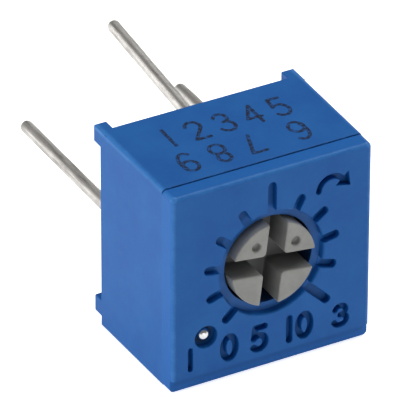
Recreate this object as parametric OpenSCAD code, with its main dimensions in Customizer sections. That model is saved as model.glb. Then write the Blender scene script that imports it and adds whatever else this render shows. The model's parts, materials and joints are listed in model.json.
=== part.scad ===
// Square single-turn trimmer potentiometer, dial at the front and three round pins at the back.
// Millimetres. X runs to the right seen from the dial, Y runs back along the pins, Z is up.
// The origin lies on the board seating plane, half way between pin 1 and pin 3.

/* [Body] */
// Width of the moulded housing at the dial face
face_w = 6.6; // [6.5:0.05:6.8]
// Height of the moulded housing at the dial face
face_h = 6.68; // [6.6:0.02:6.8]
// Depth of the housing from the dial face to the back plane, without standoffs
body_d = 4.3; // [4.25:0.05:4.6]
// Amount by which each side is wider at the back plane than at the face
draft = 0.05; // [0.02:0.01:0.1]
// Depth of the front band that the mould's parting step ends
band_d = 0.6; // [0.4:0.05:0.8]
// Height of the parting step round the body
parting_step = 0.03; // [0.01:0.01:0.05]
// Radius along the front edges of the face
front_edge_r = 0.12; // [0.06:0.02:0.2]
// Radius of the four long corners
corner_r = 0.14; // [0.08:0.02:0.2]
// Height of the set-back lip along the lower edge of the face
lip_h = 0.43; // [0.3:0.01:0.5]
// How far the lip lies behind the face
lip_back = 0.14; // [0.08:0.01:0.2]

/* [Standoffs] */
// Height of the four feet that rest on the board
standoff_h = 0.38; // [0.25:0.01:0.5]
// Width of each foot along X
standoff_w = 0.42; // [0.35:0.01:0.45]
// Height of each foot along Z
standoff_len = 0.56; // [0.4:0.02:0.7]
// Distance of the lower feet from the underside
lower_foot_rise = 0.3; // [0.2:0.02:0.4]

/* [Dial] */
// Height of the rotor axis above the line of pin 1 and pin 3
dial_z = 0.28; // [0.2:0.01:0.35]
// Radius of the shallow ring round the rotor
ring_r = 1.79; // [1.7:0.01:1.9]
// Depth of the shallow ring
ring_depth = 0.16; // [0.08:0.01:0.2]
// Number of scale marks
marks = 11; // [11:1:11]
// Angle from the first scale mark to the last
scale_angle = 270; // [240:10:270]
// Width of a scale mark
mark_w = 0.32; // [0.2:0.01:0.36]
// Depth of a scale mark
mark_depth = 0.22; // [0.1:0.01:0.26]
// Distance from the rotor axis to the far end of a short mark
mark_r = 2.26; // [2.1:0.01:2.4]
// Distance from the rotor axis to the far end of a long mark
long_mark_r = 2.72; // [2.5:0.01:2.8]

/* [Rotor] */
// Radius of the slotted rotor head
rotor_r = 1.38; // [1.3:0.01:1.4]
// Radial running gap between the rotor head and the housing
rotor_gap = 0.05; // [0.03:0.01:0.08]
// How far the rotor head stands in front of the dial face
rotor_proud = 0.12; // [0:0.01:0.15]
// Width of the driver slots
slot_w = 0.6; // [0.55:0.01:0.7]
// Depth of the driver slots
slot_depth = 1.0; // [0.7:0.05:1.1]
// Radius on the inner corners of the four posts
post_corner_r = 0.12; // [0.06:0.01:0.2]
// Radius of the two pointer dimples
dimple_r = 0.15; // [0.1:0.01:0.18]
// Distance of the pointer dimples from the rotor axis
dimple_at_r = 0.93; // [0.85:0.01:0.95]
// Angle to which the dial is set, clockwise from the middle of its travel
dial_setting = 7; // [-60:1:60]

/* [Pins] */
// Diameter of the pins
pin_dia = 0.4; // [0.36:0.01:0.44]
// Distance between pin 1 and pin 3
pin_pitch = 5.08; // [5.06:0.01:5.1]
// Height of pin 2 above the line of pin 1 and pin 3
pin_2_rise = 2.54; // [2.5:0.01:2.56]
// Length of pin 1 beyond the seating plane
pin_1_length = 6.0; // [3:0.1:12]
// Length of pin 2 beyond the seating plane
pin_2_length = 5.4; // [3:0.1:12]
// Length of pin 3 beyond the seating plane
pin_3_length = 5.7; // [3:0.1:12]
// Angle by which pin 2 leans upwards where it leaves the resin
pin_2_lean = 7; // [0:0.5:9]

/* [Vent] */
// Distance of the vent from the rotor axis plane, to the left
vent_x = 2.17; // [2.15:0.01:2.25]
// Distance of the vent below the line of pin 1 and pin 3
vent_drop = 1.63; // [1.55:0.01:1.7]
// Radius of the vent's wide mouth in the face
vent_mouth_r = 0.4; // [0.36:0.01:0.44]
// Depth of the vent's wide mouth
vent_mouth_d = 0.24; // [0.2:0.01:0.3]
// Radius of the steel ball that closes the vent
ball_r = 0.23; // [0.2:0.01:0.26]

/* [Hidden] */

$fn = 96;
cut = 0.2;                                   // how far a cutter runs past the face it opens

// Planes along the depth
back_y = -standoff_h;                        // back plane of the housing
face_y = back_y - body_d;                    // dial face
parting_y = face_y + band_d;
ring_floor_y = face_y + ring_depth;
front_wall_y = face_y + 1.0;                 // inner face of the front wall
seal_r = 0.2;                                // radius of the seal's section
seal_gap = 0.02;
flange_y = front_wall_y + seal_gap + 2 * seal_r;
flange_back_y = flange_y + 0.6;
substrate_y = back_y - 1.72;                 // printed face of the ceramic plate
substrate_t = 0.6;
substrate_back_y = substrate_y + substrate_t;
relief_y = substrate_y - 0.3;                // floor of the shallow relief in front of the plate
print_t = 0.03;                              // thickness of the fired prints
potting_y = back_y - 0.07;                   // rear surface of the sealing resin

// Vent
ball_y = face_y + vent_mouth_d + 0.04;       // middle of the ball
ball_grip = 0.01;                            // by how much the bore is tighter than the ball
vent_neck_r = 0.12;

// Heights
middle_z = 0.04;                             // middle of the housing
top_z = middle_z + face_h / 2;
bottom_z = middle_z - face_h / 2;

// Rear pocket and rotor chamber
wall_t = 0.45;
pocket_w = face_w - 2 * wall_t + 0.06;
pocket_h = face_h - 2 * wall_t - 0.1;
relief_w = pocket_w - 0.56;
relief_h = pocket_h - 0.56;
chamber_r = 2.45;

// Rotor and its stop
flange_r = 1.95;
lug_r = 2.38;
lug_half_angle = 10;
stop_r = 2.05;
stop_play = 0.5;
stop_half_angle = 180 - scale_angle / 2 - lug_half_angle - stop_play;
head_y = face_y - rotor_proud;
boss_r = 0.34;
stake_r = 0.5;
stake_back_y = flange_back_y + 0.16;

// Wiper
spring_t = 0.08;
finger_w = 0.12;
finger_step = 0.17;
contact_gap = 0.01;
plate_r = 1.78;
track_in_r = 1.35;
track_out_r = 1.85;
brush_r = 1.6;
centre_brush_r = 0.3;
contact_y = substrate_y - print_t - contact_gap;

// Pins: round outside, coined square where they pass the resin and the plate, with a flat head
pin_r = pin_dia / 2;
pin_x = pin_pitch / 2;
shank_w = 0.3;
head_w = 0.5;
head_t = 0.12;
head_play = 0.05;
round_y = potting_y + 0.08;                  // where the square shank becomes round, and where a pin leans
collar_r = 0.42;                             // foot of the resin that climbs each pin
collar_tip_r = 0.24;
collar_y = potting_y + 0.1;
pin_places = [[-pin_x, 0], [pin_x, 0], [0, pin_2_rise]];
solder_r = 0.31;
solder_h = 0.24;
hole_play = 0.02;

housing_color = [0.11, 0.32, 0.62];
rotor_color = [0.66, 0.64, 0.6];
seal_color = [0.12, 0.12, 0.12];
spring_color = [0.8, 0.72, 0.45];
ceramic_color = [0.93, 0.92, 0.88];
track_color = [0.14, 0.13, 0.12];
print_color = [0.78, 0.76, 0.7];
tinned_color = [0.68, 0.67, 0.65];
solder_color = [0.74, 0.74, 0.76];
resin_color = [0.1, 0.22, 0.42];

// A cylinder along Y from one depth to another
module along_y(r, y0, y1, x = 0, z = 0) {
    translate([x, y0, z]) rotate([-90, 0, 0]) cylinder(h = y1 - y0, r = r);
}

// A cone along Y
module cone_y(r0, r1, y0, y1, x = 0, z = 0) {
    translate([x, y0, z]) rotate([-90, 0, 0]) cylinder(h = y1 - y0, r1 = r0, r2 = r1);
}

// A block given by its middle in X and Z and its two depths
module block_y(w, h, y0, y1, x = 0, z = 0) {
    translate([x - w / 2, y0, z - h / 2]) cube([w, y1 - y0, h]);
}

// Everything inside is drawn on the dial's plane, with up as +Y of the drawing, and gets a thickness along Y
module plate_y(y0, y1) {
    translate([0, y1, 0]) rotate([90, 0, 0]) linear_extrude(height = y1 - y0) children();
}

module rounded_rectangle(w, h, r) {
    square([w - 2 * r, h], center = true);
    square([w, h - 2 * r], center = true);
    for (sx = [-1, 1], sy = [-1, 1]) translate([sx * (w / 2 - r), sy * (h / 2 - r)]) circle(r = r);
}

// Wedge from the centre, half_angle to each side of the upward direction
module wedge(half_angle, far) {
    polygon([[0, 0], [-far * tan(half_angle), far], [far * tan(half_angle), far]]);
}

// Arc of a flat ring between two angles, counted clockwise from up; it may span up to 170 degrees
module ring_arc(r_in, r_out, from_angle, to_angle) {
    far = r_out * 1.6;
    mid = (from_angle + to_angle) / 2;
    half = (to_angle - from_angle) / 2;
    intersection() {
        difference() {
            circle(r = r_out);
            circle(r = r_in);
        }
        rotate(-mid) polygon([
            [0, 0],
            [-far * sin(half), far * cos(half)],
            [-far * sin(half / 2) * 1.2, far * cos(half / 2) * 1.2],
            [0, far * 1.2],
            [far * sin(half / 2) * 1.2, far * cos(half / 2) * 1.2],
            [far * sin(half), far * cos(half)]
        ]);
    }
}

// ---- housing ----

// Side profile of the shell, drawn with depth as X and half the width as Y: band, parting step, draft
module shell_profile(width) {
    half = width / 2;
    step_half = half + parting_step;
    difference() {
        polygon([
            [face_y, -half], [face_y, half],
            [parting_y, half], [parting_y, step_half],
            [back_y, half + draft], [back_y, -half - draft],
            [parting_y, -step_half], [parting_y, -half]
        ]);
        // rounded front edges
        for (side = [0, 1]) mirror([0, side]) difference() {
            translate([face_y - 1, half - front_edge_r]) square(1 + front_edge_r);
            translate([face_y + front_edge_r, half - front_edge_r]) circle(r = front_edge_r);
        }
    }
}

module shell() {
    far = 20;
    intersection() {
        translate([0, 0, -far / 2]) linear_extrude(height = far) rotate(90) mirror([0, 1]) shell_profile(face_w);
        translate([-far / 2, 0, middle_z]) rotate([90, 0, 90]) linear_extrude(height = far)
            shell_profile(face_h);
        translate([0, 0, middle_z]) plate_y(face_y - 1, back_y + 1)
            rounded_rectangle(face_w + 2 * draft, face_h + 2 * draft, corner_r);
    }
}

// Four feet, flush with the sides; the upper pair is flush with the top
module standoffs() {
    foot_x = face_w / 2 + draft - standoff_w / 2 - 0.02;
    upper_z = top_z + draft - standoff_len / 2 - 0.02;
    lower_z = bottom_z + lower_foot_rise + standoff_len / 2;
    for (side = [-1, 1], z = [upper_z, lower_z])
        block_y(standoff_w, standoff_len, back_y - 0.3, 0, side * foot_x, z);
}

// One engraved mark with round ends, pointing up from the rotor axis
module scale_mark(far_r) {
    near_r = ring_r - 0.02;
    translate([-mark_w / 2, near_r]) square([mark_w, far_r - mark_w / 2 - near_r]);
    translate([0, far_r - mark_w / 2]) circle(d = mark_w, $fn = 32);
}

module scale_marks() {
    step = scale_angle / (marks - 1);
    for (i = [0 : marks - 1]) {
        long = i == (marks - 1) / 2 || i == marks - 1;
        rotate(scale_angle / 2 - i * step) scale_mark(long ? long_mark_r : mark_r);
    }
}

// Mouth, the bore that grips the ball, and the neck into the rotor chamber
module vent_cut() {
    bore_end = ball_y + ball_r + 0.05;
    along_y(vent_mouth_r, face_y - cut, face_y + vent_mouth_d, -vent_x, -vent_drop);
    along_y(ball_r - ball_grip, face_y + vent_mouth_d - 0.02, bore_end, -vent_x, -vent_drop);
    along_y(vent_neck_r, bore_end - 0.02, relief_y + cut, -vent_x, -vent_drop);
}

// Block in the rotor chamber that the rotor's lug meets at both ends of its travel
module stop_block() {
    translate([0, 0, dial_z]) plate_y(front_wall_y - 0.1, relief_y)
        ring_arc(stop_r, chamber_r + 0.1, 180 - stop_half_angle, 180 + stop_half_angle);
}

module housing() {
    color(housing_color) {
        difference() {
            union() {
                shell();
                standoffs();
            }
            // lip under the face
            translate([-face_w, face_y - 1, bottom_z - 1]) cube([2 * face_w, 1 + lip_back, 1 + lip_h]);
            translate([0, 0, dial_z]) {
                along_y(ring_r, face_y - cut, ring_floor_y);
                plate_y(face_y - cut, face_y + mark_depth) scale_marks();
                along_y(rotor_r + rotor_gap, face_y, front_wall_y + cut);
                along_y(chamber_r, front_wall_y, relief_y + cut);
            }
            vent_cut();
            // relief with room for the pin heads, then the pocket for the plate and the resin
            block_y(relief_w, relief_h, relief_y, substrate_y + cut, 0, middle_z);
            for (p = pin_places)
                block_y(head_w + 2 * head_play, head_w + 2 * head_play, relief_y, substrate_y + cut, p[0], p[1]);
            block_y(pocket_w, pocket_h, substrate_y, back_y + cut, 0, middle_z);
        }
        stop_block();
    }
}

// ---- rotor group ----

module in_rotor_frame() {
    translate([0, 0, dial_z]) rotate([0, dial_setting, 0]) children();
}

// Cross of the two driver slots, with the posts' inner corners rounded
module cross_slot() {
    long = 2 * rotor_r + 1;
    square([slot_w, long], center = true);
    square([long, slot_w], center = true);
    corner = slot_w / 2 + post_corner_r;
    difference() {
        square(2 * corner, center = true);
        for (sx = [-1, 1], sy = [-1, 1]) translate([sx * corner, sy * corner]) circle(r = post_corner_r, $fn = 32);
    }
}

module rotor() {
    color(rotor_color) in_rotor_frame() {
        difference() {
            along_y(rotor_r, head_y, flange_y + 0.1);
            plate_y(head_y - cut, head_y + slot_depth) cross_slot();
            for (side = [-1, 1]) rotate([0, side * 45, 0])
                along_y(dimple_r, head_y - cut, head_y + 0.16, 0, dimple_at_r);
        }
        along_y(flange_r, flange_y, flange_back_y);
        plate_y(flange_y, flange_back_y) ring_arc(flange_r - 0.2, lug_r, -lug_half_angle, lug_half_angle);
        along_y(boss_r, flange_back_y - 0.1, stake_back_y);
        along_y(stake_r, flange_back_y + spring_t, stake_back_y);
    }
}

module o_ring() {
    color(seal_color) translate([0, flange_y - seal_r, dial_z]) rotate([-90, 0, 0])
        rotate_extrude() translate([rotor_r + seal_r, 0]) circle(r = seal_r, $fn = 48);
}

// One sprung finger, drawn with depth as X and distance from the axis as Y: it rises from the plate to
// its contact point and its tip turns back
module finger(root_r, contact_r, x) {
    dir = contact_r > root_r ? 1 : -1;
    tip = contact_r + dir * 0.12;
    bend = contact_r - dir * 0.08;
    y0 = flange_back_y;
    translate([x - finger_w / 2, 0, 0]) rotate([90, 0, 90]) linear_extrude(height = finger_w) polygon([
        [y0, root_r], [y0, root_r + dir * 0.12],
        [contact_y - spring_t, bend], [contact_y - spring_t - 0.06, tip],
        [contact_y - 0.06, tip], [contact_y, contact_r], [contact_y, bend],
        [y0 + spring_t, root_r]
    ]);
}

module wiper() {
    window_w = 3 * finger_step + 0.06;
    color(spring_color) in_rotor_frame() {
        difference() {
            along_y(plate_r, flange_back_y, flange_back_y + spring_t);
            along_y(boss_r + 0.01, flange_back_y - cut, flange_back_y + cut);
            block_y(window_w, brush_r - 0.72 + 0.02, flange_back_y - cut, flange_back_y + cut,
                    0, (brush_r + 0.82) / 2);
            block_y(window_w, 0.72, flange_back_y - cut, flange_back_y + cut, 0, -0.86);
        }
        for (i = [-1, 0, 1]) {
            finger(0.72, brush_r, i * finger_step);
            finger(-1.3, -centre_brush_r, i * finger_step);
        }
    }
}

// ---- resistance element ----

module substrate() {
    play = 0.06;
    color(ceramic_color) difference() {
        block_y(pocket_w - play, pocket_h - play, substrate_y, substrate_back_y, 0, middle_z);
        for (p = pin_places)
            along_y(pin_r + hole_play, substrate_y - cut, substrate_back_y + cut, p[0], p[1]);
        along_y(0.2, substrate_y - cut, substrate_back_y + cut, 0, dial_z);
    }
}

// Horseshoe of resistive ink, open at the bottom
module resistor_track() {
    open_half_angle = 180 - scale_angle / 2;
    color(track_color) translate([0, 0, dial_z]) plate_y(substrate_y - print_t, substrate_y) difference() {
        circle(r = track_out_r);
        circle(r = track_in_r);
        rotate(180) wedge(open_half_angle, 2 * track_out_r);
    }
}

// Conductor from one end of the track, round its outside, to a pin's head; side is -1 for pin 1
module end_pad(side) {
    end_angle = scale_angle / 2;
    lane_in_r = track_out_r + 0.14;
    lane_out_r = lane_in_r + 0.2;
    color(print_color) plate_y(substrate_y - print_t, substrate_y) difference() {
        union() {
            translate([0, dial_z]) mirror([side < 0 ? 1 : 0, 0]) {
                ring_arc(track_in_r, track_out_r, end_angle, end_angle + 12);
                ring_arc(track_out_r - 0.05, lane_out_r, end_angle + 2, end_angle + 12);
                ring_arc(lane_in_r, lane_out_r, 97, end_angle + 12);
            }
            translate([side * pin_x, 0]) square(head_w + 0.1, center = true);
            translate([side * (lane_in_r + 0.1), -0.15]) square([0.4, 0.3], center = true);
        }
        translate([side * pin_x, 0]) circle(r = pin_r + hole_play);
    }
}

module end_pad_1() {
    end_pad(-1);
}

module end_pad_3() {
    end_pad(1);
}

// Centre contact, through-hole and the strip on the back of the plate up to pin 2
module collector_print() {
    strip_w = 0.5;
    color(print_color) difference() {
        union() {
            along_y(0.55, substrate_y - print_t, substrate_y, 0, dial_z);
            along_y(0.2, substrate_y - 0.01, substrate_back_y + 0.01, 0, dial_z);
            along_y(0.4, substrate_back_y, substrate_back_y + print_t, 0, dial_z);
            along_y(solder_r, substrate_back_y, substrate_back_y + print_t, 0, pin_2_rise);
            block_y(strip_w, pin_2_rise - dial_z, substrate_back_y, substrate_back_y + print_t,
                    0, (pin_2_rise + dial_z) / 2);
        }
        along_y(pin_r + hole_play, substrate_y, potting_y, 0, pin_2_rise);
    }
}

// ---- pins, solder and resin ----

// Square shank through the plate and the solder, then the round wire with its domed end
module wire(x, z, length, lean = 0) {
    free_length = length - round_y - pin_r;
    block_y(shank_w, shank_w, substrate_y - 0.06, round_y + 0.05, x, z);
    translate([x, round_y, z]) rotate([lean, 0, 0]) {
        along_y(pin_r, 0, free_length);
        translate([0, free_length, 0]) sphere(r = pin_r);
    }
}

// The flat head bears on the plate, or on the print in front of it
module pin_head(x, z, print = print_t) {
    block_y(head_w, head_w, substrate_y - print - head_t, substrate_y - print, x, z);
}

module wire_1() {
    wire(-pin_x, 0, pin_1_length);
}

module wire_2() {
    wire(0, pin_2_rise, pin_2_length, pin_2_lean);
}

module wire_3() {
    wire(pin_x, 0, pin_3_length);
}

module pin_1() {
    color(tinned_color) {
        pin_head(-pin_x, 0);
        wire_1();
    }
}

module pin_2() {
    color(tinned_color) {
        pin_head(0, pin_2_rise, 0);
        wire_2();
    }
}

module pin_3() {
    color(tinned_color) {
        pin_head(pin_x, 0);
        wire_3();
    }
}

// Cone of solder round a pin at the back of the plate
module solder_joint(x, z, base_y) {
    color(solder_color) difference() {
        cone_y(solder_r, pin_r + 0.05, base_y, base_y + solder_h, x, z);
        block_y(shank_w, shank_w, base_y - cut, base_y + solder_h + cut, x, z);
    }
}

module solder_1() {
    solder_joint(-pin_x, 0, substrate_back_y);
}

module solder_2() {
    solder_joint(0, pin_2_rise, substrate_back_y + print_t);
}

module solder_3() {
    solder_joint(pin_x, 0, substrate_back_y);
}

// Resin that fills the pocket behind the plate and climbs a little up each pin
module potting() {
    color(resin_color) difference() {
        union() {
            block_y(pocket_w, pocket_h, substrate_back_y, potting_y, 0, middle_z);
            for (p = pin_places)
                cone_y(collar_r, collar_tip_r, potting_y - 0.01, collar_y, p[0], p[1]);
        }
        wire_1();
        wire_2();
        wire_3();
        for (p = [[-pin_x, 0, 0], [pin_x, 0, 0], [0, pin_2_rise, print_t]])
            cone_y(solder_r, pin_r + 0.05, substrate_back_y + p[2], substrate_back_y + p[2] + solder_h,
                   p[0], p[1]);
        along_y(0.4, substrate_back_y - cut, substrate_back_y + print_t, 0, dial_z);
        along_y(solder_r, substrate_back_y - cut, substrate_back_y + print_t, 0, pin_2_rise);
        block_y(0.5, pin_2_rise - dial_z, substrate_back_y - cut, substrate_back_y + print_t,
                0, (pin_2_rise + dial_z) / 2);
    }
}

// Steel ball pressed into the vent
module vent_ball() {
    color(solder_color) translate([-vent_x, ball_y, -vent_drop]) sphere(r = ball_r);
}

housing();
rotor();
o_ring();
wiper();
substrate();
resistor_track();
end_pad_1();
end_pad_3();
collector_print();
pin_1();
pin_2();
pin_3();
solder_1();
solder_2();
solder_3();
potting();
vent_ball();
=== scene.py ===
import json
import math

import bmesh
import bpy
from mathutils import Matrix, Vector, noise


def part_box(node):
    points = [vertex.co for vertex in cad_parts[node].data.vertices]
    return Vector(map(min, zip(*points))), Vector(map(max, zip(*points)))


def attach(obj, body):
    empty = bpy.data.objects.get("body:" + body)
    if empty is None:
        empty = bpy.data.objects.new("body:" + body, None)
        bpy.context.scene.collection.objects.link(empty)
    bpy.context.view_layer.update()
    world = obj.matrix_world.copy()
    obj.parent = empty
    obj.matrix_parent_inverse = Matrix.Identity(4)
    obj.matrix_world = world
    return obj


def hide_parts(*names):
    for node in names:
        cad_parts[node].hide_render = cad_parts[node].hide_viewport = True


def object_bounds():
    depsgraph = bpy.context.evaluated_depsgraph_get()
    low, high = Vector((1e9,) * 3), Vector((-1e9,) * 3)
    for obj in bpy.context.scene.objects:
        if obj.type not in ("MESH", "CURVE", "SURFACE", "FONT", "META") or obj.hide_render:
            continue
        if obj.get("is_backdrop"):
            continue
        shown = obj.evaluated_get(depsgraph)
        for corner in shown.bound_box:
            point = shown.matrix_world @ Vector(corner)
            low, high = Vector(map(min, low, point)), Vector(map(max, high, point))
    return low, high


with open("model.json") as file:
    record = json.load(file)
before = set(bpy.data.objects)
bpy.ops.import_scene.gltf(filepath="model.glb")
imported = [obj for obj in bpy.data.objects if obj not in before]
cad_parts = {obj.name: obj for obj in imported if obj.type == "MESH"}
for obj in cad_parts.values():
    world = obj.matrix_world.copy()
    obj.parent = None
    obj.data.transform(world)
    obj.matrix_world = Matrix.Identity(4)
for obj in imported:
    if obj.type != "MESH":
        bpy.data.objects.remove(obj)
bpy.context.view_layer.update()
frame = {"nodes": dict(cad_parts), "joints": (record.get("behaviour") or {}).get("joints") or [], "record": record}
perMetre = 1000                              # everything is drawn in millimetres and scaled down at the end


def boxOf(node):                             # a node's two corners in millimetres
    low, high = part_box(node)
    return low * perMetre, high * perMetre


axisZ = frame["joints"][0]["pos_m"][2] * perMetre      # height of the dial's axis
shellLow, shellHigh = boxOf("housing")
plateLow, plateHigh = boxOf("substrate")
pocketLow, pocketHigh = boxOf("potting")
faceY = shellLow.y                           # the dial face looks along -Y
middleZ = (shellHigh.z + shellLow.z) / 2


# camera

cameraPlan = {
    "azimuth": -28.86, "elevation": 32.06, "roll": 0.14,
    "distance": 0.18614, "lens": 569.8, "clip": (0.01, 20),
    "aim": (-1.348, 1.885, 1.597),           # from the middle of the dial face, in millimetres
    "faceMiddle": 0.08,                      # height of that middle
}


def placeCamera(plan):
    azimuth, elevation = math.radians(plan["azimuth"]), math.radians(plan["elevation"])
    back = Vector((math.sin(azimuth) * math.cos(elevation),
                   -math.cos(azimuth) * math.cos(elevation), math.sin(elevation)))
    right = Vector((0, 0, 1)).cross(back).normalized()
    up = back.cross(right)
    roll = Matrix.Rotation(math.radians(plan["roll"]), 3, back)
    turn = (roll @ Matrix((right, up, back)).transposed()).to_4x4()
    aim = Vector(plan["aim"]) + Vector((0, faceY, plan["faceMiddle"]))
    data = bpy.data.cameras.new("camera")
    data.lens = plan["lens"]
    data.clip_start, data.clip_end = plan["clip"]
    eye = bpy.data.objects.new("camera", data)
    eye.matrix_world = Matrix.Translation(aim / perMetre + back * plan["distance"]) @ turn
    bpy.context.scene.collection.objects.link(eye)
    bpy.context.scene.camera = eye


placeCamera(cameraPlan)
print("camera placed")


# shader nodes written as sums

class Tap:                                   # a shader socket that takes part in Python sums
    def __init__(self, finish, socket):
        self.finish, self.socket = finish, socket

    def sum(self, kind, *terms):
        return self.finish.node("ShaderNodeMath", {"operation": kind}, dict(enumerate(terms)))

    def __add__(self, other):
        return self.sum("ADD", self, other)

    def __sub__(self, other):
        return self.sum("SUBTRACT", self, other)

    def __rsub__(self, other):
        return self.sum("SUBTRACT", other, self)

    def __mul__(self, other):
        return self.sum("MULTIPLY", self, other)

    def __pow__(self, other):
        return self.sum("POWER", self, other)

    def __abs__(self):
        return self.sum("ABSOLUTE", self)

    __radd__ = __add__
    __rmul__ = __mul__


class Finish:                                # the nodes of one material, or of the world
    def __init__(self, name, owner=None):
        self.owner = owner or bpy.data.materials.new(name)
        self.owner.use_nodes = True
        self.tree = self.owner.node_tree
        self.tree.nodes.clear()

    def node(self, kind, settings=None, inputs=None, output=0):
        made = self.tree.nodes.new(kind)
        for key, value in (settings or {}).items():
            if key == "stops":
                for element, (place, level) in zip(made.color_ramp.elements, value):
                    element.position, element.color = place, (level, level, level, 1)
            else:
                setattr(made, key, value)
        for key, value in (inputs or {}).items():
            if isinstance(value, Tap):
                self.tree.links.new(value.socket, made.inputs[key])
            elif isinstance(value, tuple) and made.inputs[key].type == "RGBA":
                made.inputs[key].default_value = (*value, 1)
            else:
                made.inputs[key].default_value = value
        return Tap(self, made.outputs[output]) if made.outputs else self.owner

    def place(self, stretch=(1, 1, 1)):      # the piece's own coordinates in millimetres
        here = self.node("ShaderNodeTexCoord", output="Object")
        scale = tuple(perMetre * s for s in stretch)
        return self.node("ShaderNodeMapping", {}, {"Vector": here, "Scale": scale})

    def along(self, axis):                   # one coordinate in millimetres
        return self.node("ShaderNodeSeparateXYZ", {}, {0: self.place()}, output=axis)

    def rise(self, value, low, high):        # 0 at low, 1 at high, held outside
        return self.node("ShaderNodeMapRange", {}, {"Value": value, "From Min": low, "From Max": high})

    def noise(self, scale, detail, roughness, stretch=(1, 1, 1)):
        return self.node("ShaderNodeTexNoise", {}, {"Vector": self.place(stretch), "Scale": scale,
                                                    "Detail": detail, "Roughness": roughness})

    def ramp(self, value, low, high):        # black at low, white at high
        return self.node("ShaderNodeValToRGB", {"stops": [(low, 0), (high, 1)]}, {"Fac": value})

    def blend(self, a, b, factor):
        return self.node("ShaderNodeMix", {"data_type": "RGBA"}, {0: factor, 6: a, 7: b}, output=2)

    def layer(self, under, coat, mask):      # coat: a colour, and how much of it shows where the mask is 1
        colour, share = coat
        return self.blend(under, colour, mask * share)

    def bump(self, height, strength, distance, under=None):
        inputs = {"Height": height, "Strength": strength, "Distance": distance / perMetre}
        if under:
            inputs["Normal"] = under
        return self.node("ShaderNodeBump", {}, inputs)

    def rays(self):                          # 1 on the camera's rays, and 1 on mirrored or refracted rays
        camera, shine, through = (self.node("ShaderNodeLightPath", output=kind) for kind in
                                  ("Is Camera Ray", "Is Glossy Ray", "Is Transmission Ray"))
        return camera, shine + through

    def surface(self, **inputs):             # the closing shader; baseColor stands for Base Color
        names = {"baseColor": "Base Color", "roughness": "Roughness", "metallic": "Metallic",
                 "normal": "Normal", "specular": "Specular IOR Level"}
        shader = self.node("ShaderNodeBsdfPrincipled", {}, {names[k]: v for k, v in inputs.items()})
        return self.node("ShaderNodeOutputMaterial", {}, {"Surface": shader})


finishes = {}                                # filled in beside each piece, by name


# mesh tools

sharpAngle = 38                              # an edge that turns more than this is sharp
overrun = 0.3                                # how far a tool goes past a surface, unless its plan says otherwise
overlap = 0.1                                # how far a cutter reaches into the next hollow


def asObject(name, bm):                      # an object from a bmesh, still in millimetres
    bmesh.ops.recalc_face_normals(bm, faces=bm.faces)
    mesh = bpy.data.meshes.new(name)
    bm.to_mesh(mesh)
    bm.free()
    made = bpy.data.objects.new(name, mesh)
    bpy.context.scene.collection.objects.link(made)
    return made


def baked(piece):                            # applies the object's modifiers
    bpy.context.view_layer.update()
    graph = bpy.context.evaluated_depsgraph_get()
    mesh = bpy.data.meshes.new_from_object(piece.evaluated_get(graph))
    old = piece.data
    piece.modifiers.clear()
    piece.data = mesh
    bpy.data.meshes.remove(old)
    return piece


def merged(piece, tools, kind):              # cuts away or adds the tools, all at once
    group = bpy.data.collections.new("tools")
    bpy.context.scene.collection.children.link(group)
    for tool in tools:
        group.objects.link(tool)
    change = piece.modifiers.new("change", "BOOLEAN")
    change.operation = kind
    change.operand_type = "COLLECTION"
    change.collection = group
    change.solver = "EXACT"
    baked(piece)
    for tool in tools:
        bpy.data.objects.remove(tool)
    bpy.data.collections.remove(group)
    return piece


def welded(piece, gap):                      # joins the points that a cut leaves almost on each other
    bm = bmesh.new()
    bm.from_mesh(piece.data)
    bmesh.ops.remove_doubles(bm, verts=bm.verts, dist=gap)
    bm.to_mesh(piece.data)
    bm.free()
    return piece


def softened(piece, width):                  # small radius on every sharp edge
    bevel = piece.modifiers.new("edges", "BEVEL")
    bevel.width = width
    bevel.segments = 3
    bevel.limit_method = "ANGLE"
    bevel.angle_limit = math.radians(sharpAngle)
    bevel.miter_outer = "MITER_ARC"
    bevel.use_clamp_overlap = False          # one short edge would shrink every radius
    return baked(piece)


def smoothed(piece, angle):                  # smooth faces, crisp where they turn by more than the angle
    piece.data.shade_smooth()
    piece.data.set_sharp_from_angle(angle=math.radians(angle))


def shaded(piece):                           # smoothed, with the large flat faces kept flat
    smoothed(piece, sharpAngle)
    weigh = piece.modifiers.new("normals", "WEIGHTED_NORMAL")
    weigh.weight = 60
    weigh.keep_sharp = True
    return baked(piece)


def dressed(piece, body, finish, replaces=()):   # scales to metres and hands the piece over
    piece.data.transform(Matrix.Scale(1 / perMetre, 4))
    piece.data.materials.clear()
    piece.data.materials.append(finishes[finish])
    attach(piece, body)
    if replaces:
        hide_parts(*replaces)
    return piece


def loft(bm, rings):                         # skins rings of equal length and closes both ends
    rows = [[bm.verts.new(p) for p in ring] for ring in rings]
    for a, b in zip(rows, rows[1:]):
        for i in range(len(a)):
            j = (i + 1) % len(a)
            bm.faces.new((a[i], a[j], b[j], b[i]))
    bm.faces.new(rows[0])
    bm.faces.new(reversed(rows[-1]))


def lathe(name, profile, steps, x, z):       # profile: (radius, depth) pairs along Y
    turns = [2 * math.pi * i / steps for i in range(steps)]
    bm = bmesh.new()
    loft(bm, [[(x + r * math.sin(t), y, z + r * math.cos(t)) for t in turns] for r, y in profile])
    return asObject(name, bm)


def roundedBox(halfW, halfH, radius, x, y, z, steps):  # ring of a rectangle with round corners
    ring = []
    for sx, sz, start in ((1, 1, 0), (1, -1, 90), (-1, -1, 180), (-1, 1, 270)):
        for i in range(steps + 1):
            t = math.radians(start + 90 * i / steps)
            ring.append((sx * (halfW - radius) + radius * math.sin(t) + x, y,
                         z + sz * (halfH - radius) + radius * math.cos(t)))
    return ring


def block(halfW, halfH, y0, y1, x, z, radius, steps=4):
    bm = bmesh.new()
    loft(bm, [roundedBox(halfW, halfH, radius, x, y, z, steps) for y in (y0, y1)])
    return asObject("tool", bm)


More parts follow.
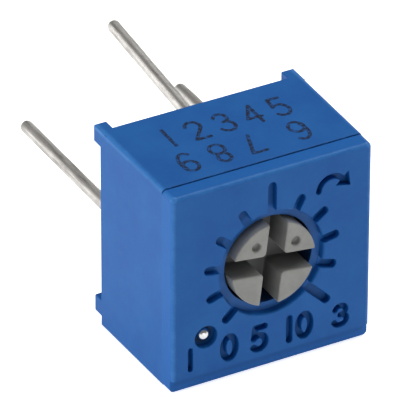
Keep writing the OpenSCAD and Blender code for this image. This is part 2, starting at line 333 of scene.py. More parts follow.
def prism(name, outline, place):             # place(u, v, end) gives the corner at each end of the prism
    bm = bmesh.new()
    loft(bm, [[place(u, v, end) for u, v in outline] for end in (0, 1)])
    return asObject(name, bm)


def alongY(y0, y1):
    return lambda u, v, end: (u, (y0, y1)[end], v)


def arcPoints(cx, cz, rx, rz, start, end, steps=12):   # degrees, clockwise from up
    turns = [math.radians(start + (end - start) * i / steps) for i in range(steps + 1)]
    return [(cx + rx * math.sin(t), cz + rz * math.cos(t)) for t in turns]


def penOutline(points, width, steps=6):      # closed outline of a pen stroke with round ends
    half = width / 2
    left, right = [], []
    for i, (x, z) in enumerate(points):
        ahead, behind = points[min(i + 1, len(points) - 1)], points[max(i - 1, 0)]
        along = Vector((ahead[0] - behind[0], ahead[1] - behind[1])).normalized() * half
        left.append((x - along.y, z + along.x))
        right.append((x + along.y, z - along.x))

    def roundEnd(centre, start):
        base = math.atan2(start[1] - centre[1], start[0] - centre[0])
        turns = [base - math.pi * i / steps for i in range(1, steps)]
        return [(centre[0] + half * math.cos(t), centre[1] + half * math.sin(t)) for t in turns]

    return left + roundEnd(points[-1], left[-1]) + right[::-1] + roundEnd(points[0], right[0])


# digits, as pen paths in a cell half as wide as it is high

cellMiddle = 0.25


def ringOf(cx, cz, rx, rz):                  # a closed ring as two half turns
    return [arcPoints(cx, cz, rx, rz, 0, 180), arcPoints(cx, cz, rx, rz, 180, 360)]


digitPaths = {
    "0": ringOf(0.25, 0.5, 0.25, 0.5),
    "1": [[(0.25, 1), (0.25, 0)]],
    "2": [arcPoints(0.25, 0.73, 0.25, 0.27, -78, 122), [(0.46, 0.59), (0, 0)], [(0, 0), (0.5, 0)]],
    "3": [arcPoints(0.24, 0.76, 0.22, 0.24, -72, 180), arcPoints(0.24, 0.27, 0.26, 0.27, 0, 252)],
    "4": [[(0.38, 0), (0.38, 1)], [(0.38, 1), (0, 0.3)], [(0, 0.3), (0.5, 0.3)]],
    "5": [[(0.46, 1), (0.08, 1)], [(0.08, 1), (0.05, 0.56)], arcPoints(0.23, 0.32, 0.27, 0.32, -48, 235)],
    "6": [arcPoints(0.29, 0.5, 0.29, 0.5, 38, -130)] + ringOf(0.25, 0.28, 0.25, 0.28),
    "7": [[(0, 1), (0.5, 1)], [(0.5, 1), (0.15, 0)]],
    "8": ringOf(0.25, 0.76, 0.21, 0.24) + ringOf(0.25, 0.27, 0.25, 0.27),
}
digitPaths["9"] = [[(0.5 - x, 1 - z) for x, z in path] for path in digitPaths["6"]]


# housing: one moulded body with the dial in its face

housingPlan = {
    "draft": 0.05, "standoff": 0.38, "corner": 0.14, "cornerSteps": 8,
    "frontRound": 0.12, "rearRound": 0.05, "arcSteps": 6,
    "band": 0.6, "step": 0.03, "groove": 0.035,        # parting line: where it lies, its step and its groove
    # its profile: place from the line, share of the groove, share of the step
    "seam": ((-0.03, 0, 0), (-0.012, 1, 0), (0.004, 1, 0), (0.012, 0, 0.6), (0.03, 0, 1)),
    "lipHeight": 0.43, "lipBack": 0.14, "lipCorner": 0.03,
    "feet": (0.42, 0.56), "footCorner": 0.04, "footRise": 0.3, "footInset": 0.02,
    "ring": (1.79, 0.23), "ringRim": 0.07, "ringSteps": 200,
    "bore": 1.46, "boreSteps": 160, "boreReach": (0.4, 0.2), "frontWall": 1.0,
    "chamber": 2.45, "stop": (2.05, 34.5), "chamberSteps": 120, "stopSteps": 24,
    "marks": 11, "scale": 270, "markWidth": 0.34, "markDepth": 0.22, "rim": 0.03,
    "shortMark": 2.29, "longMark": 2.75, "longOnes": (5, 10), "markSteps": 10,
    "vent": (-2.17, -1.63), "mouth": (0.4, 0.24), "ventSeat": (0.23, 0.6), "ventNeck": 0.12, "ventSteps": 72,
    "relief": (2.6, 2.56, 0.3), "reliefCorner": 0.1, "pocketCorner": 0.12, "pocketSteps": 6,
    "pocketReach": 0.5,                      # how far the pocket's cutter stands out of the back
    "digits": (("1", -2.89, 0.66, 0.22), ("0 5 10", -1.6, 0.75, 0.27), ("3", 2.12, 0.66, 0.24)),
    "digitBottom": -2.6, "digitWidth": 0.82, "digitAdvance": 0.5, "engraved": 0.22,
    "arrow": {"middle": (1.98, 2.18), "radius": 0.44, "sweep": (-85, 48), "steps": 14,
              "head": (0.42, 0.3), "pen": 0.24},
}
bodyBack = -housingPlan["standoff"]

bluePlan = {
    "deep": (0.002, 0.098, 0.37), "pale": (0.006, 0.118, 0.405),
    # scale, detail and roughness
    "clouds": (0.7, 4, 0.6), "grain": (14, 3, 0.6), "speckle": (5, 2, 0.5), "edgeBreakup": (2.6, 4, 0.7),
    "seamShadeBreakup": (3.5, 3, 0.65),
    # a colour, and how much of it shows
    "specks": ((0.02, 0.14, 0.42), 0.15), "band": ((0.004, 0.125, 0.45), 0.6),
    # the edge colour is pale wear with a painted highlight along the edges
    # the parting-line colour is painted shade in its groove
    "edgeWearAndHighlight": ((0.06, 0.25, 0.63), 0.6), "seam": ((0.002, 0.012, 0.04), 0.6),
    # the recess colour is painted shade in the marks, digits and other hollows of the face
    # the ring-floor colour is a pale dusty tint with a painted sheen
    "recessShade": ((0.001, 0.045, 0.17), 0.55), "dustAndSheen": ((0.03, 0.1, 0.3), 0.5),
    # the bore-wall colour is painted shade
    # the colour round the vent ball is painted shade
    "ballGapShade": ((0.002, 0.012, 0.04), 0.9), "insideShade": ((0.002, 0.012, 0.04), 0.85),
    # the part of a pattern that turns from black to white
    "cloudRamp": (0.35, 0.65), "speckRamp": (0.62, 0.72), "edgeWearAndHighlightRamp": (0.2, 0.62), "seamRamp": (0.38, 0.6),
    # roughness, what the grain adds and the worn, highlighted edges take away; strength and distance of the bumps
    "rough": 0.5, "rougher": 0.1, "smoother": 0.12, "specular": 0.26,
    "cloudBump": (0.2, 0.05), "grainBump": (0.25, 0.006),
    # where a mask begins and where it is full: from the sides, from an axis or behind the face
    "frontEdge": (0.15, 0), "sideEdge": (0.25, 0.05), "topEdge": (0.2, 0.05),
    "bandStart": (0.02, 0.06), "seamWidth": (0.035, 0.012),
    "faceField": (3.2, 3.1), "pastRing": (1.78, 1.86), "recess": (0.05, 0.2),
    "ringRadius": (1.8, 1.7), "ringFloor": (0.1, 0.2), "boreRadius": (1.52, 1.5), "boreStart": (0.22, 0.34),
    "ballRadius": (0.36, 0.26), "ballStart": (0.12, 0.2),
    "bandFade": 0.01, "seamAt": -0.005,      # both from the parting line
}


def housingPlastic(plan, sizes):
    f = Finish("moulded_blue")
    x, y, z = (f.along(axis) for axis in "XYZ")
    across, upright = abs(x), abs(z - middleZ)

    def behind(depths):                      # a mask between two depths behind the face
        return f.rise(y, *(faceY + d for d in depths))

    def around(cx, cz, radii):               # a mask between two distances from an axis along Y
        u, v = x - cx, z - cz
        return f.rise((u * u + v * v) ** 0.5, *radii)

    clouds, grain = f.noise(*plan["clouds"]), f.noise(*plan["grain"])
    specks = f.ramp(f.noise(*plan["speckle"]), *plan["speckRamp"])
    front = behind(plan["frontEdge"])
    sides = f.rise(across, *(shellHigh.x - inset for inset in plan["sideEdge"]))
    top = f.rise(z, *(shellHigh.z - inset for inset in plan["topEdge"]))
    edges = front * (sides + top) + sides * top
    # edge wear, with a painted highlight along the front, side and top edges
    edgeWearAndHighlight = f.ramp(edges * (0.3 + f.noise(*plan["edgeBreakup"])), *plan["edgeWearAndHighlightRamp"])
    bandEnd = sizes["band"]
    band = behind((bandEnd + plan["bandFade"], bandEnd - plan["bandFade"])) * behind(plan["bandStart"])
    offSeam = abs(y - (faceY + bandEnd + plan["seamAt"]))
    # painted shade along the parting groove on the top, broken up by noise
    seamShadeBreakup = f.ramp(f.noise(*plan["seamShadeBreakup"]), *plan["seamRamp"])
    seam = f.rise(offSeam, *plan["seamWidth"]) * top * seamShadeBreakup
    field = f.rise(across, *plan["faceField"]) * f.rise(upright, *plan["faceField"])
    # painted shade in the hollows of the face, outside the ring
    recess = field * around(0, axisZ, plan["pastRing"]) * behind(plan["recess"])
    ringFloor = around(0, axisZ, plan["ringRadius"]) * behind(plan["ringFloor"])
    # painted shade on the mouth floor round the vent ball
    ballGapShade = around(*sizes["vent"], plan["ballRadius"]) * behind(plan["ballStart"])
    # painted shade on the bore wall behind the face
    bore = around(0, axisZ, plan["boreRadius"]) * behind(plan["boreStart"])

    colour = f.blend(plan["deep"], plan["pale"], f.ramp(clouds, *plan["cloudRamp"]))
    colour = f.layer(colour, plan["specks"], specks)
    colour = f.layer(colour, plan["band"], band)
    # pale edges: wear, and a painted highlight
    colour = f.layer(colour, plan["edgeWearAndHighlight"], edgeWearAndHighlight)
    colour = f.layer(colour, plan["seam"], seam)       # parting line, with painted shade in its groove, broken up in places
    colour = f.layer(colour, plan["recessShade"], recess)     # painted shade in the marks and digits
    # a pale dusty tint with a painted sheen on the ring floor
    colour = f.layer(colour, plan["dustAndSheen"], ringFloor)
    # painted shade round the vent ball
    colour = f.layer(colour, plan["ballGapShade"], ballGapShade)
    colour = f.layer(colour, plan["insideShade"], bore)     # painted shade on the wall that the rotor runs in
    roughness = plan["rough"] + plan["rougher"] * grain - plan["smoother"] * edgeWearAndHighlight
    return f.surface(baseColor=colour, roughness=roughness, specular=plan["specular"],
                     normal=f.bump(clouds, *plan["cloudBump"], f.bump(grain, *plan["grainBump"])))


def shellRings(plan):                        # outer form of the body, from the face to the back
    draft, front, rear = plan["draft"], plan["frontRound"], plan["rearRound"]
    halfW, halfH = shellHigh.x - draft, (shellHigh.z - shellLow.z) / 2 - draft
    depth = bodyBack - faceY
    arc = [math.radians(90 * i / plan["arcSteps"]) for i in range(plan["arcSteps"] + 1)]
    section = [(front * (1 - math.cos(t)), front * (math.sin(t) - 1), front * (math.sin(t) - 1)) for t in arc]
    for past, groove, step in plan["seam"]:
        d = plan["band"] + past
        section.append((d, draft * d / depth, step * plan["step"] - groove * plan["groove"]))
    for t in arc[::2]:
        growth = draft - rear * (1 - math.cos(t))
        section.append((depth - rear * math.cos(t), growth, growth))
    corner, steps = plan["corner"], plan["cornerSteps"]
    return [roundedBox(halfW + growW, halfH + growH, corner, 0, faceY + d, middleZ, steps)
            for d, growW, growH in section]


def flare(rim, depth, steps=4):              # (depth, growth) rows of a cutter whose mouth has a rounded rim
    turns = [math.radians(90 - 90 * i / steps) for i in range(steps + 1)]
    rows = [(rim * (1 - math.sin(t)), rim * (1 - math.cos(t))) for t in turns]
    return [(-overrun, rim)] + rows + [(depth, 0)]


def strokeTool(path, width, rim, depth, steps=6):      # cutter for a pen stroke in the dial face
    bm = bmesh.new()
    loft(bm, [[(x, faceY + d, z) for x, z in penOutline(path, width - 2 * rim + 2 * g, steps)]
              for d, g in flare(rim, depth)])
    return asObject("tool", bm)


def roundTool(radius, rim, depth, steps, x, z, more=()):
    rows = [(radius - rim + g, faceY + d) for d, g in flare(rim, depth)]
    return lathe("tool", rows + list(more), steps, x, z)


def scaleMarks(plan):                        # pen paths of the marks round the ring
    turnStep = plan["scale"] / (plan["marks"] - 1)
    for i in range(plan["marks"]):
        turn = math.radians(i * turnStep - plan["scale"] / 2)
        far = plan["longMark"] if i in plan["longOnes"] else plan["shortMark"]
        ends = (plan["ring"][0] - overlap, far - plan["markWidth"] / 2)
        yield [(r * math.sin(turn), axisZ + r * math.cos(turn)) for r in ends]


def writing(text, left, bottom, height, advance, width):       # pen paths of a row of digits
    return [[(left + i * advance + x * width, bottom + z * height) for x, z in path]
            for i, mark in enumerate(text) if mark != " " for path in digitPaths[mark]]


def turnArrow(plan):                         # a bent arrow that shows which way raises the setting
    arc = arcPoints(*plan["middle"], plan["radius"], plan["radius"], *plan["sweep"], plan["steps"])
    (x, z), turn = arc[-1], math.radians(plan["sweep"][1])
    long, half = plan["head"]
    outX, outZ = half * math.sin(turn), half * math.cos(turn)
    point = (x + long * math.cos(turn), z - long * math.sin(turn))
    return arc, [(x + outX, z + outZ), point, (x - outX, z - outZ)]


def faceTools(plan):                         # everything that is cut into the dial face
    rim, wallBack = plan["rim"], faceY + plan["frontWall"]
    outward, inward = plan["boreReach"]      # past the face, and into the chamber
    bore = [(plan["bore"], faceY - outward), (plan["bore"], wallBack + inward)]
    tools = [roundTool(plan["ring"][0], plan["ringRim"], plan["ring"][1], plan["ringSteps"], 0, axisZ),
             lathe("tool", bore, plan["boreSteps"], 0, axisZ)]
    for path in scaleMarks(plan):
        tools.append(strokeTool(path, plan["markWidth"], rim, plan["markDepth"], plan["markSteps"]))
    mouthR, mouthDepth = plan["mouth"]
    seatR, seatEnd = plan["ventSeat"]
    neckR = plan["ventNeck"]
    stepped = [(seatR, faceY + mouthDepth), (seatR, faceY + seatEnd),
               (neckR, faceY + seatEnd), (neckR, plateLow.y - overlap)]
    tools.append(roundTool(mouthR, rim, mouthDepth, plan["ventSteps"], *plan["vent"], stepped))
    for row, left, height, pen in plan["digits"]:
        for path in writing(row, left, plan["digitBottom"], height, plan["digitAdvance"], plan["digitWidth"]):
            tools.append(strokeTool(path, pen, rim, plan["engraved"]))
    arc, head = turnArrow(plan["arrow"])
    tools.append(strokeTool(arc, plan["arrow"]["pen"], rim, plan["engraved"]))
    tools.append(prism("tool", head, alongY(faceY - overrun, faceY + plan["engraved"])))
    return tools


def lipTool(plan):                           # sets the strip along the lower edge of the face back
    lipTop = shellLow.z + plan["draft"] + plan["lipHeight"]
    wide, high, outward = 5, 2, 1            # well past the strip's ends, below it and before the face
    return block(wide, high, faceY - outward, faceY + plan["lipBack"], 0, lipTop - high, plan["lipCorner"])


def chamberTool(plan):                       # the rotor's chamber, with the stop that its lug meets
    wideR, (stopR, half) = plan["chamber"], plan["stop"]
    outline = (arcPoints(0, axisZ, wideR, wideR, half - 180, 180 - half, plan["chamberSteps"])
               + arcPoints(0, axisZ, stopR, stopR, 180 - half, 180 + half, plan["stopSteps"]))
    return prism("tool", outline, alongY(faceY + plan["frontWall"], plateLow.y - overlap))


def pocketTools(plan):                       # room for the plate and the resin, and a relief before the plate
    reliefW, reliefH, reliefDepth = plan["relief"]
    pocketH, seat = (pocketHigh.z - pocketLow.z) / 2, plateLow.y
    corner, steps = plan["pocketCorner"], plan["pocketSteps"]
    return [block(reliefW, reliefH, seat - reliefDepth, seat + overlap, 0, middleZ, plan["reliefCorner"]),
            block(pocketHigh.x, pocketH, seat, plan["pocketReach"], 0, middleZ, corner, steps)]


def standoffs(plan):
    footW, footH = (side / 2 for side in plan["feet"])
    footX = shellHigh.x - footW - plan["footInset"]
    upper = shellHigh.z - footH - plan["footInset"]
    lower = shellLow.z + plan["draft"] + plan["footRise"] + footH
    return [block(footW, footH, bodyBack - overrun, 0, side * footX, z, plan["footCorner"])
            for side in (-1, 1) for z in (upper, lower)]


def buildHousing(plan):
    bm = bmesh.new()
    loft(bm, shellRings(plan))
    shell = merged(asObject("housing_shell", bm), standoffs(plan), "UNION")
    merged(shell, faceTools(plan) + [lipTool(plan), chamberTool(plan)] + pocketTools(plan), "DIFFERENCE")
    shaded(shell)
    return dressed(shell, "housing", "housing_plastic", ["housing"])


finishes["housing_plastic"] = housingPlastic(bluePlan, housingPlan)
buildHousing(housingPlan)
print("housing built")


# digits printed on the top: one row upright from the front, the other read from the pins

printPlan = {
    "pen": 0.115, "thick": 0.004, "sunk": 0.01, "height": 0.95, "width": 0.92, "weld": 0.0002,
    "far": {"1": -1.78, "2": -0.88, "3": 0.05, "4": 0.97, "5": 1.88}, "farBottom": 2.5,
    "near": {"6": 1.76, "7": 0.2, "8": -0.86, "9": -1.94}, "nearTop": 2.03,
    "black": (0.004, 0.010, 0.03), "bare": ((0.006, 0.085, 0.31), 0.85),
    "wear": (9, 4, 0.75), "wearRamp": (0.48, 0.58), "roughness": 0.6, "specular": 0.25,
}


def printingInk(plan):
    f = Finish("dark_ink")
    worn = f.ramp(f.noise(*plan["wear"]), *plan["wearRamp"])
    colour = f.layer(plan["black"], plan["bare"], worn)
    return f.surface(baseColor=colour, roughness=plan["roughness"], specular=plan["specular"])


def topAt(y, shell):                         # height of the drafted top at a depth
    share = (y - faceY - shell["band"]) / (bodyBack - faceY - shell["band"])
    return shellHigh.z - shell["draft"] + shell["step"] + share * (shell["draft"] - shell["step"])


def buildPrint(plan):
    def onTop(u, v, end):
        y = faceY + v
        return (u, y, topAt(y, housingPlan) + (-plan["sunk"], plan["thick"])[end])

    def row(digits, base, way):              # way is -1 for a row that is turned round
        return [[(middle + way * (x - cellMiddle) * plan["width"], base + way * z * plan["height"])
                 for x, z in path] for mark, middle in digits.items() for path in digitPaths[mark]]

    paths = row(plan["far"], plan["farBottom"], 1) + row(plan["near"], plan["nearTop"], -1)
    strokes = [prism("tool" if i else "top_print", penOutline(path, plan["pen"]), onTop)
               for i, path in enumerate(paths)]
    film = welded(merged(strokes[0], strokes[1:], "UNION"), plan["weld"])
    film.data.shade_flat()
    return dressed(film, "housing", "ink")


finishes["ink"] = printingInk(printPlan)
buildPrint(printPlan)
print("print laid")


# rotor: a round head with four posts, and the flange and stake behind it

rotorPlan = {
    "radius": 1.38, "flange": (1.95, -3.26, -2.66), "lug": (1.75, 2.38, 10),
    "boss": 0.34, "stake": (0.5, 0.08, 0.16),
    "slot": 0.6, "slotDepth": 1.0, "slotReach": 0.5, "postCorner": 0.12,
    "dimple": (0.15, 0.93, 0.16), "dimpleFloor": 0.8, "dimpleReach": 0.2, "dimpleSteps": 40,
    "steps": 144, "setting": 7, "edge": 0.045, "weld": 0.0015,
    "deep": (0.265, 0.265, 0.25), "pale": (0.32, 0.322, 0.303), "cloudRamp": (0.35, 0.65),
    "clouds": (1.5, 4, 0.6), "grain": (16, 3, 0.6), "cloudBump": (0.2, 0.04), "grainBump": (0.25, 0.006),
    "rough": 0.5, "rougher": 0.1, "specular": 0.5,
    # a darker grey painted as shade behind the head's front, with the depths where it starts and where it is full
    "insideShade": ((0.09, 0.09, 0.092), 0.88), "insideShadeStart": (0.22, 0.85),
}
headY = boxOf("rotor")[0].y


def rotorPlastic(plan):
    f = Finish("moulded_grey")
    clouds, grain = f.noise(*plan["clouds"]), f.noise(*plan["grain"])
    colour = f.blend(plan["deep"], plan["pale"], f.ramp(clouds, *plan["cloudRamp"]))
    # painted shade, darker deeper in the slots and behind the head's front
    slotShade = f.rise(f.along("Y"), *(headY + d for d in plan["insideShadeStart"]))
    colour = f.layer(colour, plan["insideShade"], slotShade)
    return f.surface(baseColor=colour, roughness=plan["rough"] + plan["rougher"] * grain,
                     specular=plan["specular"],
                     normal=f.bump(clouds, *plan["cloudBump"], f.bump(grain, *plan["grainBump"])))


def lugOutline(inner, outer, half, steps=8):
    return (arcPoints(0, axisZ, outer, outer, -half, half, steps)
            + arcPoints(0, axisZ, inner, inner, half, -half, steps))


def crossOutline(plan):
    half, r, far = plan["slot"] / 2, plan["postCorner"], plan["radius"] + plan["slotReach"]
    quarter = [(half, far)] + arcPoints(half + r, half + r, r, r, 270, 180, 6) + [(far, half)]
    outline = []
    for turn in range(4):
        c, s = round(math.cos(turn * math.pi / 2)), round(math.sin(turn * math.pi / 2))
        outline += [(u * c + v * s, axisZ + v * c - u * s) for u, v in quarter]
    return outline


def dimpleTools(plan):
    radius, at, deep = plan["dimple"]
    floor, turn = radius * plan["dimpleFloor"], math.radians(45)
    across, up = at * math.sin(turn), at * math.cos(turn)
    profile = [(radius, headY - plan["dimpleReach"]), (radius, headY), (floor, headY + deep)]
    return [lathe("tool", profile, plan["dimpleSteps"], side * across, axisZ + up) for side in (-1, 1)]


def buildRotor(plan):
    radius, boss = plan["radius"], plan["boss"]
    flangeR, flangeFront, flangeBack = plan["flange"]
    stakeR, stakeStart, stakeEnd = plan["stake"]
    profile = [(radius, headY), (radius, flangeFront), (flangeR, flangeFront), (flangeR, flangeBack),
               (boss, flangeBack), (boss, flangeBack + stakeStart),
               (stakeR, flangeBack + stakeStart), (stakeR, flangeBack + stakeEnd)]
    piece = lathe("rotor_head", profile, plan["steps"], 0, axisZ)
    merged(piece, [prism("tool", lugOutline(*plan["lug"]), alongY(flangeFront, flangeBack))], "UNION")
    cross = prism("tool", crossOutline(plan), alongY(headY - overrun, headY + plan["slotDepth"]))
    merged(piece, [cross] + dimpleTools(plan), "DIFFERENCE")
    softened(welded(piece, plan["weld"]), plan["edge"])
    shaded(piece)
    axis = Matrix.Translation((0, 0, axisZ))
    piece.data.transform(axis @ Matrix.Rotation(math.radians(plan["setting"]), 4, "Y") @ axis.inverted())
    return dressed(piece, "rotor", "rotor_plastic", ["rotor"])


finishes["rotor_plastic"] = rotorPlastic(rotorPlan)
buildRotor(rotorPlan)
print("rotor built")


# pins: drawn wire, square where it passes the plate and the resin

pinPlan = {
    "radius": 0.2, "head": 0.25, "headThick": 0.12, "shank": 0.15, "roundFrom": -0.37,
    "steps": 40, "pitch": 0.11, "tip": (15, 30, 45, 58, 70, 80), "crisp": 40,
    "wander": 0.012, "wanderWave": 0.35, "wanderFrom": 1.5, "uneven": 0.02, "unevenWave": (1.2, 1.3),
    # name, upward lean in degrees, finish, and seed of its unevenness
    "pins": (("pin_1", 0, "scuffed_wire", 3.1), ("pin_2", 7, "tinned_wire", 8.4),
             ("pin_3", 0, "tinned_wire", 14.9)),
}

wirePlan = {
    "bright": (0.62, 0.6, 0.57), "dull": (0.4, 0.38, 0.36), "scratched": (0.12, 0.11, 0.1),
    "streaks": (3, 4, 0.65, (2.2, 0.22, 2.2)), "blotches": (2.2, 4, 0.6),
    "scratches": (5, 4, 0.7, (3, 0.12, 3)),
    "streakBump": (0.3, 0.01), "blotchBump": (0.2, 0.03), "rough": 0.34, "rougher": 0.12, "wear": 1.5,
}


def tinnedWire(name, scuff, plan):           # scuff says how worn the wire is
    f = Finish(name)
    streaks, blotches = f.noise(*plan["streaks"]), f.noise(*plan["blotches"])
    dull = f.ramp(streaks * 0.6 + blotches * 0.4, 0.5 - scuff, 0.62)
    scratches = f.ramp(f.noise(*plan["scratches"]), 0.56 - scuff, 0.66 - scuff)
    colour = f.blend(plan["bright"], plan["dull"], dull)
    colour = f.blend(colour, plan["scratched"], scratches * (0.15 + 5 * scuff))
    roughness = plan["rough"] + plan["wear"] * scuff + plan["rougher"] * dull
    return f.surface(baseColor=colour, metallic=1.0, roughness=roughness,
                     normal=f.bump(streaks, *plan["streakBump"], f.bump(blotches, *plan["blotchBump"])))


def pinStations(plan, reach):                # places along the wire, with the share of its radius there
    straight = reach - plan["radius"]
    count = round(straight / plan["pitch"])
    tip = [math.radians(a) for a in plan["tip"]]
    return ([(straight * i / count, 1.0) for i in range(count + 1)]
            + [(straight + plan["radius"] * math.sin(a), math.cos(a)) for a in tip])


def buildPin(node, lean, finish, seed, plan):
    low, high = boxOf(node)
    x, z = (low.x + high.x) / 2, low.z + plan["head"]
    start, radius = plan["roundFrom"], plan["radius"]
    turns = [2 * math.pi * i / plan["steps"] for i in range(plan["steps"])]

    def square(half, y):                     # with as many points as the round rings
        widest = [max(abs(math.sin(t)), abs(math.cos(t))) for t in turns]
        return [(x + half * math.sin(t) / w, y, z + half * math.cos(t) / w) for t, w in zip(turns, widest)]

    headEnd = low.y + plan["headThick"]
    rings = [square(plan["head"], low.y), square(plan["head"], headEnd),
             square(plan["shank"], headEnd), square(plan["shank"], start)]
    tilt = Matrix.Translation((x, start, z)) @ Matrix.Rotation(math.radians(lean), 4, "X")
    reach = (high.y - radius - start) / math.cos(math.radians(lean)) + radius
    across, lengthways = plan["unevenWave"]
    for y, share in pinStations(plan, reach):
        loose = min(1.0, y / plan["wanderFrom"])
        wave = y * plan["wanderWave"]
        shift = Vector([plan["wander"] * loose * noise.noise((wave, seed, k)) for k in (0, 7.7)])
        ring = []
        for t in turns:
            spot = (math.sin(t) * across, y * lengthways + seed, math.cos(t) * across)
            r = radius * share * (1 + plan["uneven"] * noise.noise(spot))
            ring.append(tilt @ Vector((shift.x + r * math.sin(t), y, shift.y + r * math.cos(t))))
        rings.append(ring)
    bm = bmesh.new()
    loft(bm, rings)
    piece = asObject(node + "_wire", bm)
    smoothed(piece, plan["crisp"])
    return dressed(piece, "housing", finish, [node])


finishes["tinned_wire"] = tinnedWire("tinned_wire", 0.02, wirePlan)
finishes["scuffed_wire"] = tinnedWire("scuffed_wire", 0.06, wirePlan)
for pin in pinPlan["pins"]:
    buildPin(*pin, pinPlan)
print("pins built")


# resin poured into the back, drawn up along the walls and the pins

resinPlan = {
    "level": -0.45, "cells": 130, "wallRise": 0.055, "wallReach": 0.1, "pinRise": 0.085, "pinReach": 0.085,
    "ripple": 0.01, "rippleWave": 0.9, "seed": 2.2, "crisp": 50,
    "deep": (0.006, 0.035, 0.13), "pale": (0.012, 0.055, 0.18), "bubble": ((0.03, 0.09, 0.24), 0.5),
    "clouds": (1.2, 4, 0.6), "bubbles": (9, 1, 0.4), "bubbleRamp": (0.7, 0.78),
    "cloudBump": (0.3, 0.05), "bubbleBump": (0.3, 0.02), "rough": 0.22, "rougher": 0.15, "specular": 0.5,
}


def sealingResin(plan):
    f = Finish("sealing_resin")
    clouds = f.noise(*plan["clouds"])
    bubbles = f.ramp(f.noise(*plan["bubbles"]), *plan["bubbleRamp"])
    colour = f.layer(f.blend(plan["deep"], plan["pale"], clouds), plan["bubble"], bubbles)
    return f.surface(baseColor=colour, roughness=plan["rough"] + plan["rougher"] * clouds,
                     specular=plan["specular"],
                     normal=f.bump(clouds, *plan["cloudBump"], f.bump(bubbles, *plan["bubbleBump"])))


def resinRise(x, z, walls, pins, plan):      # how far the surface stands above its level at a place
    rise = plan["wallRise"] * math.exp(-walls / plan["wallReach"])
    for px, pz in pins:
        gap = max(0.0, math.hypot(x - px, z - pz) - pinPlan["radius"])
        rise += plan["pinRise"] * math.exp(-gap / plan["pinReach"])
    wave = plan["rippleWave"]
    return rise + plan["ripple"] * noise.noise((x * wave, z * wave, plan["seed"]))


def buildResin(plan):
    boxes = [boxOf(pin[0]) for pin in pinPlan["pins"]]
    pins = [((low.x + high.x) / 2, low.z + pinPlan["head"]) for low, high in boxes]
    halfW, halfH = pocketHigh.x, (pocketHigh.z - pocketLow.z) / 2
    middle = (pocketHigh.z + pocketLow.z) / 2
    bm = bmesh.new()
    bmesh.ops.create_grid(bm, x_segments=plan["cells"], y_segments=plan["cells"], size=1)
    for v in bm.verts:
        x, z = v.co.x * halfW, middle + v.co.y * halfH
        walls = min(halfW - abs(x), halfH - abs(z - middle))
        v.co = Vector((x, plan["level"] + resinRise(x, z, walls, pins, plan), z))
    rim = [e for e in bm.edges if e.is_boundary]
    skirt = bmesh.ops.extrude_edge_only(bm, edges=rim)["geom"]
    for v in (g for g in skirt if isinstance(g, bmesh.types.BMVert)):
        v.co.y = plateHigh.y
    bmesh.ops.holes_fill(bm, edges=[e for e in bm.edges if e.is_boundary])
    piece = asObject("resin_fill", bm)
    smoothed(piece, plan["crisp"])
    return dressed(piece, "housing", "sealing_resin", ["potting"])


finishes["sealing_resin"] = sealingResin(resinPlan)
buildResin(resinPlan)
print("resin poured")


# vent ball

ballPlan = {
    "subdivisions": 5, "uneven": 0.0006, "unevenWave": 9,
    "steel": (0.74, 0.74, 0.74), "roughness": 0.09,
}


def plainMetal(name, colour, roughness):
    f = Finish(name)
    clouds = f.noise(6, 3, 0.6)
    shade = f.blend(colour, tuple(0.8 * c for c in colour), f.ramp(clouds, 0.4, 0.7))
    return f.surface(baseColor=shade, metallic=1.0, roughness=roughness + 0.1 * clouds,
                     normal=f.bump(clouds, 0.15, 0.01))


def buildBall(plan):
    low, high = boxOf("vent_ball")
    bm = bmesh.new()
    bmesh.ops.create_icosphere(bm, subdivisions=plan["subdivisions"], radius=(high.x - low.x) / 2)
    for v in bm.verts:
        v.co *= 1 + plan["uneven"] * noise.noise(v.co * plan["unevenWave"])
    bm.transform(Matrix.Translation((low + high) / 2))
    piece = asObject("vent_ball_polished", bm)
    piece.data.shade_smooth()
    return dressed(piece, "housing", "ball_steel", ["vent_ball"])


finishes["ball_steel"] = plainMetal("ball_steel", ballPlan["steel"], ballPlan["roughness"])
buildBall(ballPlan)
print("ball seated")


# inner parts, whose shapes come from the frame

innerPlan = {
    "metals": {                              # colour and roughness
        "contact_spring": ((0.7, 0.55, 0.3), 0.25),
        "fired_print": ((0.6, 0.58, 0.54), 0.45),
        "solder": ((0.62, 0.62, 0.64), 0.25),
    },
    # name, dark and light tone, roughness, scale and detail of the grain
    "others": {
        "ceramic_plate": ("fired_ceramic", (0.82, 0.8, 0.75), (0.9, 0.88, 0.84), 0.6, 12, 4),
        "resistor_ink": ("resistor_ink", (0.012, 0.011, 0.01), (0.03, 0.028, 0.025), 0.35, 12, 4),
        "seal_rubber": ("seal_rubber", (0.012, 0.012, 0.012), (0.03, 0.03, 0.03), 0.7, 10, 3),
    },
}


def grainyFinish(name, dark, light, roughness, scale, detail):
    f = Finish(name)
    grain = f.noise(scale, detail, 0.6)
    return f.surface(baseColor=f.blend(dark, light, grain), roughness=roughness,
                     normal=f.bump(grain, 0.2, 0.01))


def dressInnerParts(plan):
    for slot, look in plan["metals"].items():
        finishes[slot] = plainMetal(slot, *look)
    for slot, look in plan["others"].items():
        finishes[slot] = grainyFinish(*look)
    for row in frame["record"]["subparts"]:
        if row["material_slot"] in finishes:
            materials = frame["nodes"][row["node"]].data.materials
            materials.clear()
            materials.append(finishes[row["material_slot"]])


dressInnerParts(innerPlan)
print("inner parts dressed")


# light and floor

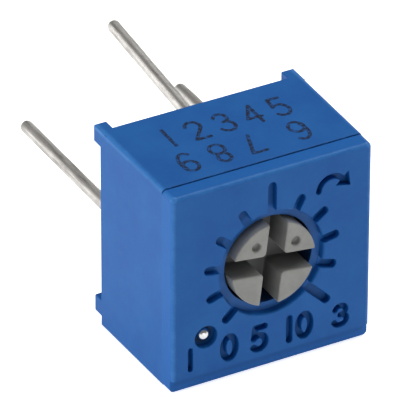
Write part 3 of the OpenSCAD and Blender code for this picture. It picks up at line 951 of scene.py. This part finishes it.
lightPlan = {
    "sky": 0.12, "skyShine": 0.22, "horizon": 1.0, "rise": (0.06, 0.34),
    "lamps": [                               # name, place in metres, size, watts
        ("overhead", (0.18, 0.02, 0.36), 0.3, 1.14),
        ("left", (-0.38, 0.1, 0.14), 0.3, 1.06),
        ("front", (0.02, -0.5, 0.04), 0.3, 0.35),
    ],
    "floor": 0.86, "floorHalf": 4, "floorGap": 0.00001,
    "table": 0.42, "floorGlow": 0.4, "mirrorGlow": 0.2,        # the floor gives light as a light table does
}


def buildWorld(plan):                        # white near the horizon and where the camera looks, dim above
    world = bpy.data.worlds.new("studio")
    bpy.context.scene.world = world
    f = Finish("studio", world)
    way = f.node("ShaderNodeTexCoord", output="Generated")
    height = f.node("ShaderNodeSeparateXYZ", {}, {0: way}, output="Z")
    start, end = plan["rise"]
    above = f.node("ShaderNodeMapRange", {}, {"Value": height, "From Min": start, "From Max": end,
                                              "To Min": plan["horizon"], "To Max": plan["skyShine"]})
    camera, mirrored = f.rays()
    strength = camera + (1 - camera) * (mirrored * above + (1 - mirrored) * plan["sky"])
    glow = f.node("ShaderNodeBackground", {}, {"Color": (1, 1, 1), "Strength": strength})
    f.node("ShaderNodeOutputWorld", {}, {"Surface": glow})


def buildLamps(plan):
    for name, place, size, watts in plan["lamps"]:
        data = bpy.data.lights.new(name, "AREA")
        data.size, data.energy = size, watts
        lamp = bpy.data.objects.new(name, data)
        lamp.location = place
        lamp.rotation_euler = (-Vector(place)).to_track_quat("-Z", "Y").to_euler()
        bpy.context.scene.collection.objects.link(lamp)


def buildFloor(plan):
    f = Finish("studio_floor")
    camera, mirrored = f.rays()
    cloth = f.node("ShaderNodeBsdfDiffuse", {}, {"Color": (plan["floor"],) * 3})
    strength = plan["table"] + camera * plan["floorGlow"] + mirrored * plan["mirrorGlow"]
    glow = f.node("ShaderNodeEmission", {}, {"Color": (1, 1, 1), "Strength": strength})
    both = f.node("ShaderNodeAddShader", {}, {0: cloth, 1: glow})
    f.node("ShaderNodeOutputMaterial", {}, {"Surface": both})
    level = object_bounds()[0][2] - plan["floorGap"]       # measured before the floor joins the scene
    bm = bmesh.new()
    bmesh.ops.create_grid(bm, x_segments=4, y_segments=4, size=plan["floorHalf"])
    floor = asObject("floor", bm)
    floor.location.z = level
    floor.data.materials.append(f.owner)
    floor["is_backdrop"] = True


buildWorld(lightPlan)
buildLamps(lightPlan)
buildFloor(lightPlan)
bpy.context.scene.view_settings.view_transform = "Standard"

print("scene ready")
